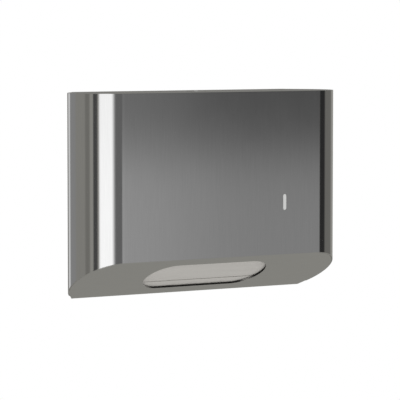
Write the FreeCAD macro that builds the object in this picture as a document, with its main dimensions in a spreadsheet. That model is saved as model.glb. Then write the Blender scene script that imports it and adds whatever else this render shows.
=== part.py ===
import FreeCAD, Part
import math
import os
import re
import Sketcher
from FreeCAD import Placement, Rotation, Vector

# Wall-mounted dispenser for folded paper towels, in satin stainless steel.
# A cover with large rolled corners and a slanted, slotted bottom swings down from a back plate
# on two hinge pins. The back plate carries the towel tray, the side guides and the lock strike.
#
# Directions: X to the right as seen from the front, Y into the wall, Z up.
# The wall is the plane Y = 0, so what stands forward of it has a negative Y.
# Every sub-part is drawn with Z = 0 at the lowest edge of the cover, and its Placement then
# puts the origin at the centre of the four wall screws.

SIZES = [
    ("width", 400, "overall width, across the rolled corners"),
    ("height", 272, "overall height"),
    ("depth", 112.5, "from the wall to the front face"),
    ("corner_radius", 49.5, "outer radius of the rolled corners"),
    ("flare_angle", 38, "how far the sides lean outwards, in degrees from straight ahead"),
    ("front_bottom", 52.6, "height of the front face's lower edge"),
    ("bottom_setback", 22.2, "from the wall to the slanted bottom's lower edge"),
    ("wall_gap", 1, "from the wall to the cover's rear edges"),
    ("cover_sheet", 1.2, "sheet of the cover"),
    ("seam", 0.2, "gap at the edges of the top and bottom plates"),
    ("top_flange", 10, "turned-down flange of the top plate"),
    ("top_bend", 1, "outer bend radius of the top plate"),
    ("slot_inset", 27.5, "from the towels' side to the end of the dispensing slot"),
    ("slot_below", 16.8, "from the bottom plate's lower edge up to the slot"),
    ("slot_above", 17.3, "from the slot up to the bottom plate's upper edge"),
    ("slot_flange", 1.4, "how far the slot's turned rim stands inside the plate"),
    ("window_inset", 101.9, "level window, in from the overall width"),
    ("window_height", 123.1, "level window centre, above the lowest edge"),
    ("window_width", 5, "level window opening, width"),
    ("window_length", 21.6, "level window opening, length"),
    ("window_play", 0.1, "gap round the level window"),
    ("window_recess", 0.2, "how far the level window's face lies back"),
    ("window_lip", 4, "width of the level window's lip behind the sheet"),
    ("window_lip_thickness", 1.5, "thickness of that lip"),
    ("wall_hole_inset", 20, "wall screws, in from the back plate's sides"),
    ("wall_hole_low", 51, "lower wall screws, above the lowest edge"),
    ("wall_hole_drop", 51, "upper wall screws, below the top"),
    ("wall_hole_diameter", 6, "clearance hole of a wall screw"),
    ("plate_sheet", 1.2, "sheet of the back plate"),
    ("plate_gap", 2, "least gap between the back plate and the cover's sides"),
    ("plate_bottom", 6, "lower edge of the back plate"),
    ("plate_drop", 8, "from the top down to the back plate's upper edge"),
    ("plate_flange", 12, "depth of the back plate's flanges"),
    ("hinge_inset", 18, "hinge, in from the back plate's side"),
    ("hinge_forward", 9, "hinge pin, from the wall"),
    ("hinge_height", 8, "hinge pin, above the lowest edge"),
    ("hinge_play", 0.3, "side gap between lug and bracket"),
    ("pin_diameter", 5, "hinge pin"),
    ("pin_fit", 0.02, "radial gap of the pin in its bracket"),
    ("pin_play", 0.08, "radial gap of the pin in the cover's lug"),
    ("pin_head_diameter", 8, "head of the hinge pin"),
    ("pin_head", 1.6, "thickness of that head"),
    ("pin_end_diameter", 6.4, "spread end of the hinge pin"),
    ("pin_end", 0.9, "thickness of that end"),
    ("lug_sheet", 2.5, "thickness of the cover's hinge lug"),
    ("lug_radius", 6.5, "eye of the hinge lug"),
    ("lug_reach", 50, "from the wall to the lug's front end"),
    ("lug_depth", 9, "height of the lug above the bottom plate"),
    ("foot_width", 14, "foot of the hinge lug"),
    ("foot_sheet", 2, "thickness of that foot"),
    ("foot_start", 6, "start of that foot, up the slope"),
    ("bracket_sheet", 2, "sheet of the hinge bracket"),
    ("bracket_width", 30, "base of the hinge bracket"),
    ("bracket_bottom", 18, "lower edge of that base"),
    ("bracket_top", 40, "upper edge of that base"),
    ("bracket_radius", 6, "eye of the hinge bracket"),
    ("tray_sheet", 1, "sheet of the towel tray"),
    ("tray_gap", 1, "between the tray and the slanted bottom"),
    ("tray_overhang", 4, "how far the tray reaches past the towels' sides"),
    ("tray_floor", 3, "underside of the tray's level ledge"),
    ("tray_margin", 3, "how far the tray's opening clears the slot's rim"),
    ("tray_front_gap", 6, "from the front face back to the tray"),
    ("tray_lip", 12, "turned-up front lip of the tray"),
    ("tray_back", 30, "top of the tray's rear flange"),
    ("guide_sheet", 1, "sheet of the side guides"),
    ("guide_play", 2, "between the towels and a guide"),
    ("guide_front_gap", 17.5, "from the front face back to a guide's edge"),
    ("guide_drop", 48, "from the top down to the side guides"),
    ("guide_flange", 12, "rear flange of a guide"),
    ("guide_flange_bottom", 44, "lower end of that flange"),
    ("towel_inset", 40, "towels, in from the back plate's sides"),
    ("towel_back", 4.5, "from the wall to the towels"),
    ("towel_front_gap", 8.5, "from the front face back to the towels"),
    ("stack_headroom", 72.3, "from the top down to the stack's front"),
    ("lead_thickness", 1.2, "lowest towel, folded"),
    ("flap_thickness", 0.5, "its outermost flap"),
    ("flap_edge", 31.8, "free edge of that flap, up the slope"),
    ("rivet_diameter", 3.2, "shank of a rivet"),
    ("rivet_fit", 0.05, "radial gap of a rivet"),
    ("rivet_head_diameter", 6, "head of a rivet"),
    ("rivet_head", 1.4, "height of that head"),
    ("rivet_slant", 40, "slant of that head's side, in degrees"),
    ("lock_forward", 45, "lock axis, from the wall"),
    ("dimple_diameter", 26, "pressed dimple for the lock"),
    ("dimple_depth", 2, "depth of that dimple"),
    ("lock_head_gap", 1.5, "gap round the head of the lock housing, in the dimple"),
    ("lock_head", 1.8, "thickness of that head"),
    ("lock_body_diameter", 18, "threaded body of the lock housing"),
    ("lock_body_length", 17, "length of that body"),
    ("lock_fit", 0.1, "radial gap of the lock body in its hole"),
    ("nut_across", 24, "lock nut, across its flats"),
    ("nut_thickness", 3, "thickness of the lock nut"),
    ("barrel_diameter", 12, "turning barrel of the lock"),
    ("barrel_play", 0.08, "radial gap of the barrel"),
    ("keyway_length", 7, "slot for the key"),
    ("keyway_width", 1.6, "width of that slot"),
    ("keyway_depth", 8, "depth of that slot"),
    ("tail_size", 8, "square tail of the barrel"),
    ("tail_fit", 0.05, "gap of that square in the cam"),
    ("cam_drop", 0.4, "between the lock body and the cam"),
    ("cam_sheet", 2, "thickness of the cam"),
    ("cam_length", 30, "lock axis to the cam's tip"),
    ("cam_width", 16, "width of the cam"),
    ("screw_diameter", 4, "screw that holds the cam"),
    ("screw_length", 6, "length of that screw's shank"),
    ("screw_head_diameter", 9, "head of that screw"),
    ("screw_head", 2.5, "height of that head"),
    ("strike_x", 26, "middle of the strike"),
    ("strike_width", 24, "width of the strike"),
    ("strike_sheet", 2, "sheet of the strike"),
    ("strike_base", 24, "height of the strike's base"),
    ("strike_drop", 3, "between the cam and the strike's arm"),
    ("strike_play", 0.5, "between the locked cam and the strike's tab"),
    ("strike_tab", 9, "how far the tab rises above the arm"),
    ("bracket_rivet_x", 10, "rivets of a hinge bracket, from its middle"),
]

doc = FreeCAD.newDocument("towel_dispenser")
sheet = doc.addObject("Spreadsheet::Sheet", "Sizes")
for row, (alias, number, note) in enumerate(SIZES, start=1):
    sheet.set(f"A{row}", note)
    sheet.set(f"B{row}", str(number))
    sheet.setAlias(f"B{row}", alias)
doc.recompute()

ALIAS = re.compile(r"\b(" + "|".join(alias for alias, number, note in SIZES) + r")\b")

# Expressions that several sub-parts share.
slope_rise = "(front_bottom / (depth - bottom_setback))"
slope_cos = f"cos(atan({slope_rise}))"
slope_sin = f"sin(atan({slope_rise}))"
slope_length = f"((depth - bottom_setback) / {slope_cos})"
plate_top = "(height - plate_drop)"
pattern_height = "((wall_hole_low + height - wall_hole_drop) / 2)"
lean_out = "(corner_radius - cover_sheet) / cos(flare_angle * 1 deg)"
lean_back = "(depth - corner_radius) * tan(flare_angle * 1 deg)"
mouth_half = f"(width / 2 - corner_radius + {lean_out} - {lean_back})"
plate_half = f"floor({mouth_half} - plate_gap)"
hinge_x = f"({plate_half} - hinge_inset)"
towel_width = f"(2 * ({plate_half} - towel_inset))"
towel_front = "(depth - towel_front_gap)"
slot_length = f"({towel_width} - 2 * slot_inset)"
slot_width = f"({slope_length} - slot_below - slot_above)"
slot_place = f"(slot_below + {slot_width} / 2)"
window_x = "(width / 2 - window_inset)"
paper_plane = "(cover_sheet + tray_gap + tray_sheet)"
cam_top = "(height - dimple_depth - lock_body_length - cam_drop)"
strike_arm = f"({cam_top} - cam_sheet - strike_drop)"


def bound(text):
    """The expression with each size looked up in the sheet."""
    return ALIAS.sub(r"Sizes.\1", text)


def value(text):
    return float(sheet.evalExpression(bound(text)))


def above_slope(forward, normal):
    """Height of a plane parallel to the slanted bottom, at a distance from the wall."""
    return f"(({forward} - bottom_setback) * {slope_rise} + ({normal}) / {slope_cos})"


def meets_level(level, normal):
    """Distance from the wall at which such a plane reaches a height."""
    return f"(bottom_setback + ({level} - ({normal}) / {slope_cos}) / {slope_rise})"


def on_slope(along, normal):
    """The point some way up the slope, and some way in from the bottom's outer face."""
    return (f"({normal}) * {slope_sin} - ({along}) * {slope_cos} - bottom_setback",
            f"({along}) * {slope_sin} + ({normal}) * {slope_cos}")


# Drawing helpers.

def new_body(label, forward="0", several=False):
    """A sub-part, its own origin some distance in front of the wall."""
    body = doc.addObject("PartDesign::Body", label)
    body.Label = label
    body.AllowCompound = several
    body.setExpression("Placement.Base.y", bound(f"-{forward}"))
    body.setExpression("Placement.Base.z", bound(f"-{pattern_height}"))
    return body


def sketch_on(body, role, lift="0"):
    """An empty sketch on one of the body's origin planes, moved along the plane's normal."""
    plane = next(item for item in body.Origin.OriginFeatures if item.Role == role)
    sketch = body.newObject("Sketcher::SketchObject", f"{body.Label}_sketch")
    sketch.AttachmentSupport = [(plane, "")]
    sketch.MapMode = "FlatFace"
    sketch.setExpression("AttachmentOffset.Base.z", bound(lift))
    return sketch


def sketch_on_slope(body, inward="0"):
    """A sketch on the slanted bottom: its x is X, its y runs up the slope from the lower edge."""
    sketch = sketch_on(body, "XY_Plane", f"({inward}) * {slope_cos}")
    turn = f"180 - atan({slope_rise}) / 1 deg"
    sketch.AttachmentOffset = Placement(Vector(), Rotation(Vector(1, 0, 0), value(turn)))
    sketch.setExpression("AttachmentOffset.Base.y", bound(f"({inward}) * {slope_sin} - bottom_setback"))
    sketch.setExpression("AttachmentOffset.Rotation.Angle", bound(turn))
    return sketch


def fix(sketch, kind, text, *place):
    """One dimension of a sketch, bound to the sheet."""
    size = math.radians(value(text)) if kind == "Angle" else value(text)
    number = sketch.addConstraint(Sketcher.Constraint(kind, *place, size))
    sketch.setExpression(f"Constraints[{number}]", bound(text))


def locate(sketch, geometry, end, x, y):
    fix(sketch, "DistanceX", x, -1, 1, geometry, end)
    fix(sketch, "DistanceY", y, -1, 1, geometry, end)


def draw_outline(sketch, points):
    """A closed outline of straight lines through points given as pairs of expressions."""
    places = [Vector(value(x), value(y), 0) for x, y in points]
    first = sketch.GeometryCount
    for here, there in zip(places, places[1:] + places[:1]):
        sketch.addGeometry(Part.LineSegment(here, there))
    for index, (x, y) in enumerate(points):
        before = first + (index - 1) % len(points)
        sketch.addConstraint(Sketcher.Constraint("Coincident", before, 2, first + index, 1))
        locate(sketch, first + index, 1, x, y)


def draw_box(sketch, left, right, low, high):
    draw_outline(sketch, [(left, low), (right, low), (right, high), (left, high)])


def draw_circle(sketch, x, y, radius):
    circle = Part.Circle(Vector(value(x), value(y), 0), Vector(0, 0, 1), value(radius))
    geometry = sketch.addGeometry(circle)
    fix(sketch, "Radius", radius, geometry)
    locate(sketch, geometry, 3, x, y)


def draw_long_hole(sketch, x, y, length, width, upright=False):
    """A slot with round ends, lying along the sketch's x, or along its y when upright."""
    ends = []
    for side in (-1, 1):
        shift = f"{side} * (({length}) - ({width})) / 2"
        centre_x = x if upright else f"{x} + {shift}"
        centre_y = f"{y} + {shift}" if upright else y
        circle = Part.Circle(Vector(value(centre_x), value(centre_y), 0), Vector(0, 0, 1), value(width) / 2)
        start = math.radians(180 * (side < 0) - 90 * (not upright))
        end = sketch.addGeometry(Part.ArcOfCircle(circle, start, start + math.pi))
        locate(sketch, end, 3, centre_x, centre_y)
        fix(sketch, "Radius", f"({width}) / 2", end)
        ends.append(end)
    for here, there in (ends, ends[::-1]):
        line = sketch.addGeometry(Part.LineSegment(sketch.getPoint(here, 2), sketch.getPoint(there, 1)))
        sketch.addConstraint(Sketcher.Constraint("Tangent", here, 2, line, 1))
        sketch.addConstraint(Sketcher.Constraint("Tangent", line, 2, there, 1))


def draw_open_corner(sketch, x, y, radius):
    """What lies outside a quarter circle below and beyond its centre, to round a corner there."""
    centre = Vector(value(x), value(y), 0)
    size = value(radius)
    quarter = Part.ArcOfCircle(Part.Circle(centre, Vector(0, 0, 1), size), -math.pi / 2, 0)
    arc = sketch.addGeometry(quarter)
    locate(sketch, arc, 3, x, y)
    locate(sketch, arc, 1, x, f"{y} - {radius}")
    fix(sketch, "DistanceY", y, -1, 1, arc, 2)
    corners = [(x, f"{y} - 2 * {radius}"), (f"{x} + 2 * {radius}", f"{y} - 2 * {radius}"),
               (f"{x} + 2 * {radius}", y)]
    spots = [Vector(value(across), value(up), 0) for across, up in corners]
    spots = [centre - Vector(0, size, 0)] + spots + [centre + Vector(size, 0, 0)]
    before = (arc, 1)
    for here, there in zip(spots, spots[1:]):
        line = sketch.addGeometry(Part.LineSegment(here, there))
        sketch.addConstraint(Sketcher.Constraint("Coincident", *before, line, 1))
        before = (line, 2)
    sketch.addConstraint(Sketcher.Constraint("Coincident", *before, arc, 2))
    for line, (across, up) in enumerate(corners, start=arc + 1):
        locate(sketch, line, 2, across, up)


def draw_plan(sketch, inset, rear):
    """The cover seen from above, set in from its outer face: flares, rolled corners, front and back."""
    lean = math.radians(value("flare_angle"))
    radius = value(f"corner_radius - ({inset})")
    centre_x = "(width / 2 - corner_radius)"
    centre_y = "(corner_radius - depth)"
    left, right = (Vector(side * value(centre_x), value(centre_y), 0) for side in (-1, 1))
    touch = Vector(radius * math.cos(lean), -radius * math.sin(lean), 0)
    reach = value(rear) - left.y + touch.y
    foot = touch + Vector(-reach * math.tan(lean), -reach, 0)
    spots = [left - foot, left - touch, left - Vector(0, radius, 0)]
    spots += [Vector(-spot.x, spot.y, 0) for spot in reversed(spots)]
    first = sketch.addGeometry(Part.LineSegment(spots[0], spots[1]))
    for index, centre, start, end in ((1, left, math.pi - lean, 1.5 * math.pi),
                                      (3, right, 1.5 * math.pi, 2 * math.pi + lean)):
        circle = Part.Circle(centre, Vector(0, 0, 1), radius)
        sketch.addGeometry(Part.ArcOfCircle(circle, start, end))
        sketch.addGeometry(Part.LineSegment(spots[index + 1], spots[index + 2]))
    sketch.addGeometry(Part.LineSegment(spots[5], spots[0]))
    for index in range(first, first + 4):
        sketch.addConstraint(Sketcher.Constraint("Tangent", index, 2, index + 1, 1))
    sketch.addConstraint(Sketcher.Constraint("Coincident", first + 4, 2, first + 5, 1))
    sketch.addConstraint(Sketcher.Constraint("Coincident", first + 5, 2, first, 1))
    for arc, side in ((first + 1, -1), (first + 3, 1)):
        locate(sketch, arc, 3, f"{side} * {centre_x}", centre_y)
        fix(sketch, "Radius", f"corner_radius - ({inset})", arc)
    fix(sketch, "Angle", "-(90 + flare_angle)", first)
    fix(sketch, "Angle", "90 + flare_angle", first + 4)
    fix(sketch, "DistanceY", rear, -1, 1, first, 1)
    fix(sketch, "DistanceY", rear, -1, 1, first + 4, 2)


def pad(body, sketch, length, middle=False, reverse=False):
    """Material along the sketch's normal, against it, or half to each side."""
    feature = body.newObject("PartDesign::Pad", f"{body.Label}_pad")
    feature.Profile = sketch
    feature.SideType = "Symmetric" if middle else "One side"
    feature.Reversed = reverse
    feature.setExpression("Length", bound(length))
    return feature


def cut(body, sketch, length=None, reverse=False):
    """A pocket against the sketch's normal, or along it; with no length, through all both ways."""
    feature = body.newObject("PartDesign::Pocket", f"{body.Label}_cut")
    feature.Profile = sketch
    feature.Reversed = reverse
    if length is None:
        feature.Type = "ThroughAll"
        feature.Midplane = True
    else:
        feature.setExpression("Length", bound(length))
    return feature


def rounded(body, radius, choose):
    """A fillet on the edges of the body's last feature that the test picks."""
    doc.recompute()
    base = body.Tip
    names = [f"Edge{number}" for number, edge in enumerate(base.Shape.Edges, start=1) if choose(edge)]
    feature = body.newObject("PartDesign::Fillet", f"{body.Label}_fillet")
    feature.Base = (base, names)
    feature.setExpression("Radius", bound(radius))
    return feature


def level_at(edge, text):
    """Whether the whole edge lies at a height."""
    box = edge.BoundBox
    return abs(box.ZMin - value(text)) < 0.01 and abs(box.ZMax - value(text)) < 0.01


# Rivets: flat heads with slanted sides, their other end flush with the wall side of the back plate.

def rivets(label, places, grip):
    body = new_body(label, several=True)
    sketch = sketch_on(body, "XZ_Plane")
    for x, z in places:
        draw_circle(sketch, x, z, "rivet_diameter / 2")
    pad(body, sketch, grip)
    sketch = sketch_on(body, "XZ_Plane", grip)
    for x, z in places:
        draw_circle(sketch, x, z, "rivet_head_diameter / 2")
    head = pad(body, sketch, "rivet_head")
    head.setExpression("TaperAngle", bound("-rivet_slant"))


def rivet_holes(body, places, grip):
    sketch = sketch_on(body, "XZ_Plane")
    for x, z in places:
        draw_circle(sketch, x, z, "rivet_diameter / 2 + rivet_fit")
    cut(body, sketch, grip, reverse=True)


bracket_level = "(bracket_bottom + bracket_top) / 2"
bracket_places = {side: [(f"{side} * {hinge_x} + {end} * bracket_rivet_x", bracket_level)
                         for end in (-1, 1)] for side in (-1, 1)}

# Cover, rolled front and sides: one sheet, its underside cut to the slope of the bottom plate.
# The lower rear corners are rounded about the hinge pin, so that they clear the wall as it opens.

cover_wrap = new_body("cover_wrap")
sketch = sketch_on(cover_wrap, "XY_Plane")
draw_plan(sketch, "0", "-wall_gap")
pad(cover_wrap, sketch, "height")
sketch = sketch_on(cover_wrap, "XY_Plane")
draw_plan(sketch, "cover_sheet", "depth")
cut(cover_wrap, sketch)
sketch = sketch_on(cover_wrap, "YZ_Plane")
draw_outline(sketch, [
    ("-2 * depth", "-height"),
    ("-bottom_setback", "-height"),
    ("-bottom_setback", "0"),
    ("-depth", "front_bottom"),
    ("-2 * depth", "front_bottom"),
])
cut(cover_wrap, sketch)
sketch = sketch_on(cover_wrap, "XZ_Plane")
draw_long_hole(sketch, window_x, "window_height", "window_length", "window_width", upright=True)
cut(cover_wrap, sketch)
heel = "(hinge_forward - wall_gap)"
sketch = sketch_on(cover_wrap, "YZ_Plane")
draw_open_corner(sketch, "-hinge_forward", "hinge_height", heel)
cut(cover_wrap, sketch)

# Cover, top plate: a shallow pan set into the sheet, its rear side open.
# A pressed dimple holds the head of the lock level with the plate.

cover_top = new_body("cover_top")
inset = "cover_sheet + seam"
sketch = sketch_on(cover_top, "XY_Plane", "height - top_flange")
draw_plan(sketch, inset, "-wall_gap")
pad(cover_top, sketch, "top_flange")
sketch = sketch_on(cover_top, "XY_Plane", "height - top_flange")
draw_plan(sketch, f"{inset} + cover_sheet", "depth")
cut(cover_top, sketch, "top_flange - cover_sheet", reverse=True)
rounded(cover_top, "top_bend", lambda edge: level_at(edge, "height")
        and edge.BoundBox.YMin < value("-wall_gap") - 1)
sketch = sketch_on(cover_top, "XY_Plane", "height - dimple_depth - cover_sheet")
draw_circle(sketch, "0", "-lock_forward", "dimple_diameter / 2 + cover_sheet")
pad(cover_top, sketch, "dimple_depth + cover_sheet / 2")
sketch = sketch_on(cover_top, "XY_Plane", "height")
draw_circle(sketch, "0", "-lock_forward", "dimple_diameter / 2")
cut(cover_top, sketch, "dimple_depth")
sketch = sketch_on(cover_top, "XY_Plane")
draw_circle(sketch, "0", "-lock_forward", "lock_body_diameter / 2 + lock_fit")
cut(cover_top, sketch)

# Cover, slanted bottom plate, with the dispensing slot and its turned-in rim.

cover_bottom = new_body("cover_bottom")
sketch = sketch_on(cover_bottom, "YZ_Plane")
draw_outline(sketch, [
    ("-bottom_setback", "0"),
    ("-1.2 * depth", above_slope("1.2 * depth", "0")),
    ("-1.2 * depth", above_slope("1.2 * depth", "cover_sheet")),
    ("-bottom_setback", above_slope("bottom_setback", "cover_sheet")),
])
pad(cover_bottom, sketch, "width", middle=True)
sketch = sketch_on(cover_bottom, "XY_Plane")
draw_box(sketch, "-width", "width", "-2 * depth", "depth")
draw_plan(sketch, inset, "-wall_gap")
cut(cover_bottom, sketch)
sketch = sketch_on_slope(cover_bottom)
rim = "2 * cover_sheet"
draw_long_hole(sketch, "0", slot_place, f"{slot_length} + {rim}", f"{slot_width} + {rim}")
pad(cover_bottom, sketch, "cover_sheet + slot_flange", reverse=True)
sketch = sketch_on_slope(cover_bottom)
draw_long_hole(sketch, "0", slot_place, slot_length, slot_width)
cut(cover_bottom, sketch)

# Cover, hinge lugs: an ear round the pin, and a foot welded to the slanted plate.

for side, name in ((-1, "left"), (1, "right")):
    lug = new_body(f"hinge_lug_{name}")
    foot_x = f"{side} * {hinge_x}"
    sketch = sketch_on(lug, "YZ_Plane", foot_x)
    draw_outline(sketch, [
        ("-hinge_forward", "hinge_height - lug_radius"),
        on_slope("foot_start", "cover_sheet"),
        ("-lug_reach", above_slope("lug_reach", "cover_sheet")),
        ("-lug_reach", above_slope("lug_reach", "cover_sheet") + " + lug_depth"),
        ("-hinge_forward", "hinge_height + lug_radius"),
    ])
    pad(lug, sketch, "lug_sheet", middle=True)
    sketch = sketch_on(lug, "YZ_Plane", foot_x)
    draw_circle(sketch, "-hinge_forward", "hinge_height", "lug_radius")
    pad(lug, sketch, "lug_sheet", middle=True)
    sketch = sketch_on_slope(lug, "cover_sheet")
    draw_box(sketch, foot_x, f"{foot_x} + {side} * (lug_sheet / 2 + foot_width)",
             "foot_start", f"(lug_reach - bottom_setback) / {slope_cos}")
    pad(lug, sketch, "foot_sheet", reverse=True)
    sketch = sketch_on(lug, "YZ_Plane", foot_x)
    draw_circle(sketch, "-hinge_forward", "hinge_height", "pin_diameter / 2 + pin_play")
    cut(lug, sketch)

# Level window: a small moulded lens, its lip behind the front sheet.

level_window = new_body("level_window")
sketch = sketch_on(level_window, "XZ_Plane", "depth - cover_sheet - window_lip_thickness")
draw_long_hole(sketch, window_x, "window_height", "window_length + 2 * window_lip",
               "window_width + 2 * window_lip", upright=True)
pad(level_window, sketch, "window_lip_thickness")
sketch = sketch_on(level_window, "XZ_Plane", "depth - cover_sheet")
draw_long_hole(sketch, window_x, "window_height", "window_length - 2 * window_play",
               "window_width - 2 * window_play", upright=True)
pad(level_window, sketch, "cover_sheet - window_recess")

# Back plate: a shallow pan, open below, with the wall holes and the rivet holes.

back_plate = new_body("back_plate")
sketch = sketch_on(back_plate, "XZ_Plane")
draw_box(sketch, f"-{plate_half}", plate_half, "plate_bottom", plate_top)
pad(back_plate, sketch, "plate_flange")
sketch = sketch_on(back_plate, "XZ_Plane", "plate_sheet")
draw_box(sketch, f"plate_sheet - {plate_half}", f"{plate_half} - plate_sheet",
         "plate_bottom - plate_flange", f"{plate_top} - plate_sheet")
cut(back_plate, sketch, "plate_flange", reverse=True)
sketch = sketch_on(back_plate, "XZ_Plane")
for side in (-1, 1):
    for level in ("wall_hole_low", "height - wall_hole_drop"):
        draw_circle(sketch, f"{side} * ({plate_half} - wall_hole_inset)", level, "wall_hole_diameter / 2")
cut(back_plate, sketch)
rivet_holes(back_plate, bracket_places[-1] + bracket_places[1], "plate_sheet")

# Hinge brackets on the back plate, two ears each, and the pins through them.

ear_middle = "(lug_sheet / 2 + hinge_play + bracket_sheet / 2)"
ear_outside = "(lug_sheet / 2 + hinge_play + bracket_sheet)"
bracket_grip = "(plate_sheet + bracket_sheet)"
for side, name in ((-1, "left"), (1, "right")):
    bracket = new_body(f"hinge_bracket_{name}")
    sketch = sketch_on(bracket, "XZ_Plane", "plate_sheet")
    draw_box(sketch, f"{side} * {hinge_x} - bracket_width / 2", f"{side} * {hinge_x} + bracket_width / 2",
             "bracket_bottom", "bracket_top")
    pad(bracket, sketch, "bracket_sheet")
    for end in (-1, 1):
        ear_x = f"{side} * {hinge_x} + {end} * {ear_middle}"
        sketch = sketch_on(bracket, "YZ_Plane", ear_x)
        draw_outline(sketch, [
            ("-plate_sheet", "hinge_height"),
            ("-(hinge_forward + bracket_radius)", "hinge_height"),
            ("-(plate_sheet + bracket_radius)", "bracket_top"),
            ("-plate_sheet", "bracket_top"),
        ])
        pad(bracket, sketch, "bracket_sheet", middle=True)
        sketch = sketch_on(bracket, "YZ_Plane", ear_x)
        draw_circle(sketch, "-hinge_forward", "hinge_height", "bracket_radius")
        pad(bracket, sketch, "bracket_sheet", middle=True)
    sketch = sketch_on(bracket, "YZ_Plane", f"{side} * {hinge_x}")
    draw_circle(sketch, "-hinge_forward", "hinge_height", "pin_diameter / 2 + pin_fit")
    cut(bracket, sketch)
    rivet_holes(bracket, bracket_places[side], bracket_grip)

    pin = new_body(f"hinge_pin_{name}")
    sketch = sketch_on(pin, "YZ_Plane", f"{side} * {hinge_x}")
    draw_circle(sketch, "-hinge_forward", "hinge_height", "pin_diameter / 2")
    pad(pin, sketch, f"2 * {ear_outside}", middle=True)
    sketch = sketch_on(pin, "YZ_Plane", f"{side} * ({hinge_x} + {ear_outside})")
    draw_circle(sketch, "-hinge_forward", "hinge_height", "pin_head_diameter / 2")
    pad(pin, sketch, "pin_head", reverse=side < 0)
    sketch = sketch_on(pin, "YZ_Plane", f"{side} * ({hinge_x} - {ear_outside})")
    draw_circle(sketch, "-hinge_forward", "hinge_height", "pin_end_diameter / 2")
    pad(pin, sketch, "pin_end", reverse=side > 0)

rivets("bracket_rivets", bracket_places[-1] + bracket_places[1], bracket_grip)

# Towel tray: a folded sheet parallel to the cover's bottom, with an opening over the slot.

tray_front = "(depth - tray_front_gap)"
ledge_top = "(tray_floor + tray_sheet)"
tray_under = "(cover_sheet + tray_gap)"
towel_tray = new_body("towel_tray")
sketch = sketch_on(towel_tray, "YZ_Plane")
draw_outline(sketch, [
    ("-plate_sheet", "tray_back"),
    ("-plate_sheet", "tray_floor"),
    (f"-{meets_level('tray_floor', tray_under)}", "tray_floor"),
    (f"-{tray_front}", above_slope(tray_front, tray_under)),
    (f"-{tray_front}", above_slope(tray_front, tray_under) + " + tray_lip"),
    (f"tray_sheet - {tray_front}", above_slope(tray_front, tray_under) + " + tray_lip"),
    (f"tray_sheet - {tray_front}", above_slope(f"({tray_front} - tray_sheet)", paper_plane)),
    (f"-{meets_level(ledge_top, paper_plane)}", ledge_top),
    ("-(plate_sheet + tray_sheet)", ledge_top),
    ("-(plate_sheet + tray_sheet)", "tray_back"),
])
pad(towel_tray, sketch, f"{towel_width} + 2 * tray_overhang", middle=True)
tray_opening = "2 * (cover_sheet + tray_margin)"
sketch = sketch_on_slope(towel_tray)
draw_long_hole(sketch, "0", slot_place, f"{slot_length} + {tray_opening}", f"{slot_width} + {tray_opening}")
cut(towel_tray, sketch, f"{paper_plane} + tray_sheet")

# Side guides: upright plates that stand on the tray, each with a rear flange.

guide_inside = f"({towel_width} / 2 + guide_play)"
guide_front = "(depth - guide_front_gap)"
guide_top = "(height - guide_drop)"
for side, name in ((-1, "left"), (1, "right")):
    guide = new_body(f"side_guide_{name}")
    sketch = sketch_on(guide, "YZ_Plane", f"{side} * ({guide_inside} + guide_sheet / 2)")
    draw_outline(sketch, [
        ("-(plate_sheet + tray_sheet)", ledge_top),
        (f"-{meets_level(ledge_top, paper_plane)}", ledge_top),
        (f"-{guide_front}", above_slope(guide_front, paper_plane)),
        (f"-{guide_front}", guide_top),
        ("-plate_sheet", guide_top),
        ("-plate_sheet", "guide_flange_bottom"),
        ("-(plate_sheet + tray_sheet)", "guide_flange_bottom"),
    ])
    pad(guide, sketch, "guide_sheet", middle=True)
    sketch = sketch_on(guide, "XZ_Plane", "plate_sheet")
    draw_box(sketch, f"{side} * {guide_inside}", f"{side} * ({guide_inside} + guide_flange)",
             "guide_flange_bottom", guide_top)
    pad(guide, sketch, "guide_sheet")

# Towels: the folded stack, and the lowest towel, whose flap ends in line with the slot.

flap_plane = f"({paper_plane} + flap_thickness)"
stack_plane = f"({flap_plane} + lead_thickness)"
stack_level = f"({ledge_top} + flap_thickness + lead_thickness)"
lead_towel = new_body("lead_towel")
sketch = sketch_on(lead_towel, "YZ_Plane")
draw_outline(sketch, [
    ("-towel_back", ledge_top),
    (f"-{meets_level(ledge_top, paper_plane)}", ledge_top),
    on_slope("flap_edge", paper_plane),
    on_slope("flap_edge", flap_plane),
    (f"-{towel_front}", above_slope(towel_front, flap_plane)),
    (f"-{towel_front}", above_slope(towel_front, stack_plane)),
    (f"-{meets_level(stack_level, stack_plane)}", stack_level),
    ("-towel_back", stack_level),
])
pad(lead_towel, sketch, towel_width, middle=True)

stack_thickness = f"(height - stack_headroom - {above_slope(towel_front, stack_plane)})"
towel_stack = new_body("towel_stack")
sketch = sketch_on(towel_stack, "YZ_Plane")
draw_outline(sketch, [
    ("-towel_back", stack_level),
    (f"-{meets_level(stack_level, stack_plane)}", stack_level),
    (f"-{towel_front}", above_slope(towel_front, stack_plane)),
    (f"-{towel_front}", "height - stack_headroom"),
    (f"-{meets_level(stack_level, stack_plane)}", f"{stack_level} + {stack_thickness}"),
    ("-towel_back", f"{stack_level} + {stack_thickness}"),
])
pad(towel_stack, sketch, towel_width, middle=True)

# Lock in the top plate: a threaded housing and its nut, and the barrel with the cam below it.
# The cam points to the wall when unlocked, and turns to the right behind the strike's tab.

lock_seat = "(height - dimple_depth)"
cam_under = f"({cam_top} - cam_sheet)"

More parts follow.
